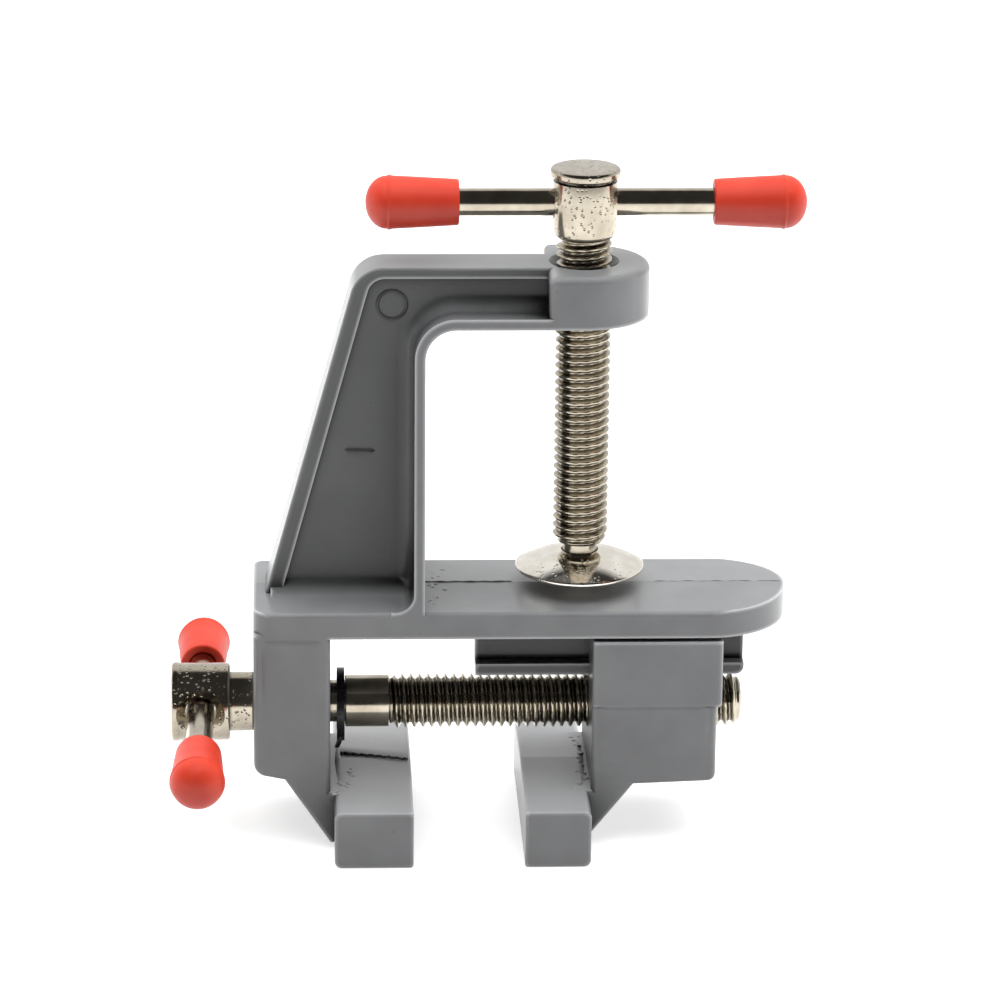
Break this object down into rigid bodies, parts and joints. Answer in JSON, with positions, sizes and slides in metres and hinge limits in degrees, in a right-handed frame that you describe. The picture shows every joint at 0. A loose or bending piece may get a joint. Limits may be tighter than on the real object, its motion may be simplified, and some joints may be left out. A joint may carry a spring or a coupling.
{
  "type": "mini bench vise",
  "caption": "Clamp-on mini bench vise: a cast C-frame whose screw and swivel foot grip a table edge, and a sliding jaw moved by a screw with a bar handle.",
  "frame": {"origin": "on the table face of the plate, where the axis of the clamp screw meets it", "axes": "+X along the jaw screw from its head towards the moving jaw, +Y across the jaws, +Z along the clamp screw from the plate to the arm"},
  "size_m": [0.0898, 0.0619, 0.0977],
  "materials": {
    "cast_paint": "die cast, with semi-gloss grey paint",
    "nickel": "bright nickel plate",
    "red_vinyl": "smooth dipped vinyl",
    "black_steel": "black oxide"
  },
  "bodies": {
    "frame": {"frame_casting": "cast_paint"},
    "sliding_jaw": {"moving_jaw": "cast_paint"},
    "jaw_spindle": {"jaw_screw": "nickel", "jaw_screw_clip": "black_steel"},
    "jaw_handle": {"jaw_handle_bar": "nickel", "jaw_handle_cap_front": "red_vinyl", "jaw_handle_cap_rear": "red_vinyl"},
    "swivel_foot": {"clamp_foot": "nickel"},
    "clamp_spindle": {"clamp_screw": "nickel"},
    "clamp_handle": {"clamp_handle_bar": "nickel", "clamp_handle_cap_left": "red_vinyl", "clamp_handle_cap_right": "red_vinyl"}
  },
  "joints": [
    {"name": "jaw_screw_turn", "type": "hinge", "parent": "frame", "child": "jaw_spindle", "pos_m": [0, 0, -0.01815], "axis": [1, 0, 0], "range_deg": [-4074, 4549]},
    {"name": "jaw_slide", "type": "slide", "parent": "frame", "child": "sliding_jaw", "axis": [1, 0, 0], "range_m": [-0.0158, 0.01415]},
    {"name": "jaw_handle_slide", "type": "slide", "parent": "jaw_spindle", "child": "jaw_handle", "axis": [0, 1, 0], "range_m": [-0.0086, 0.0152]},
    {"name": "foot_lift", "type": "slide", "parent": "frame", "child": "swivel_foot", "axis": [0, 0, 1], "range_m": [-0.00225, 0.0348]},
    {"name": "clamp_screw_turn", "type": "hinge", "parent": "swivel_foot", "child": "clamp_spindle", "pos_m": [0, 0, 0], "axis": [0, 0, 1], "range_deg": [-646, 10020]},
    {"name": "clamp_handle_slide", "type": "slide", "parent": "clamp_spindle", "child": "clamp_handle", "axis": [1, 0, 0], "range_m": [-0.013, 0.0126]}
  ],
  "couplings": [
    {"joint": "jaw_slide", "follows": "jaw_screw_turn", "m_per_rad": -0.00019894},
    {"joint": "foot_lift", "follows": "clamp_screw_turn", "m_per_rad": 0.00019894}
  ]
}
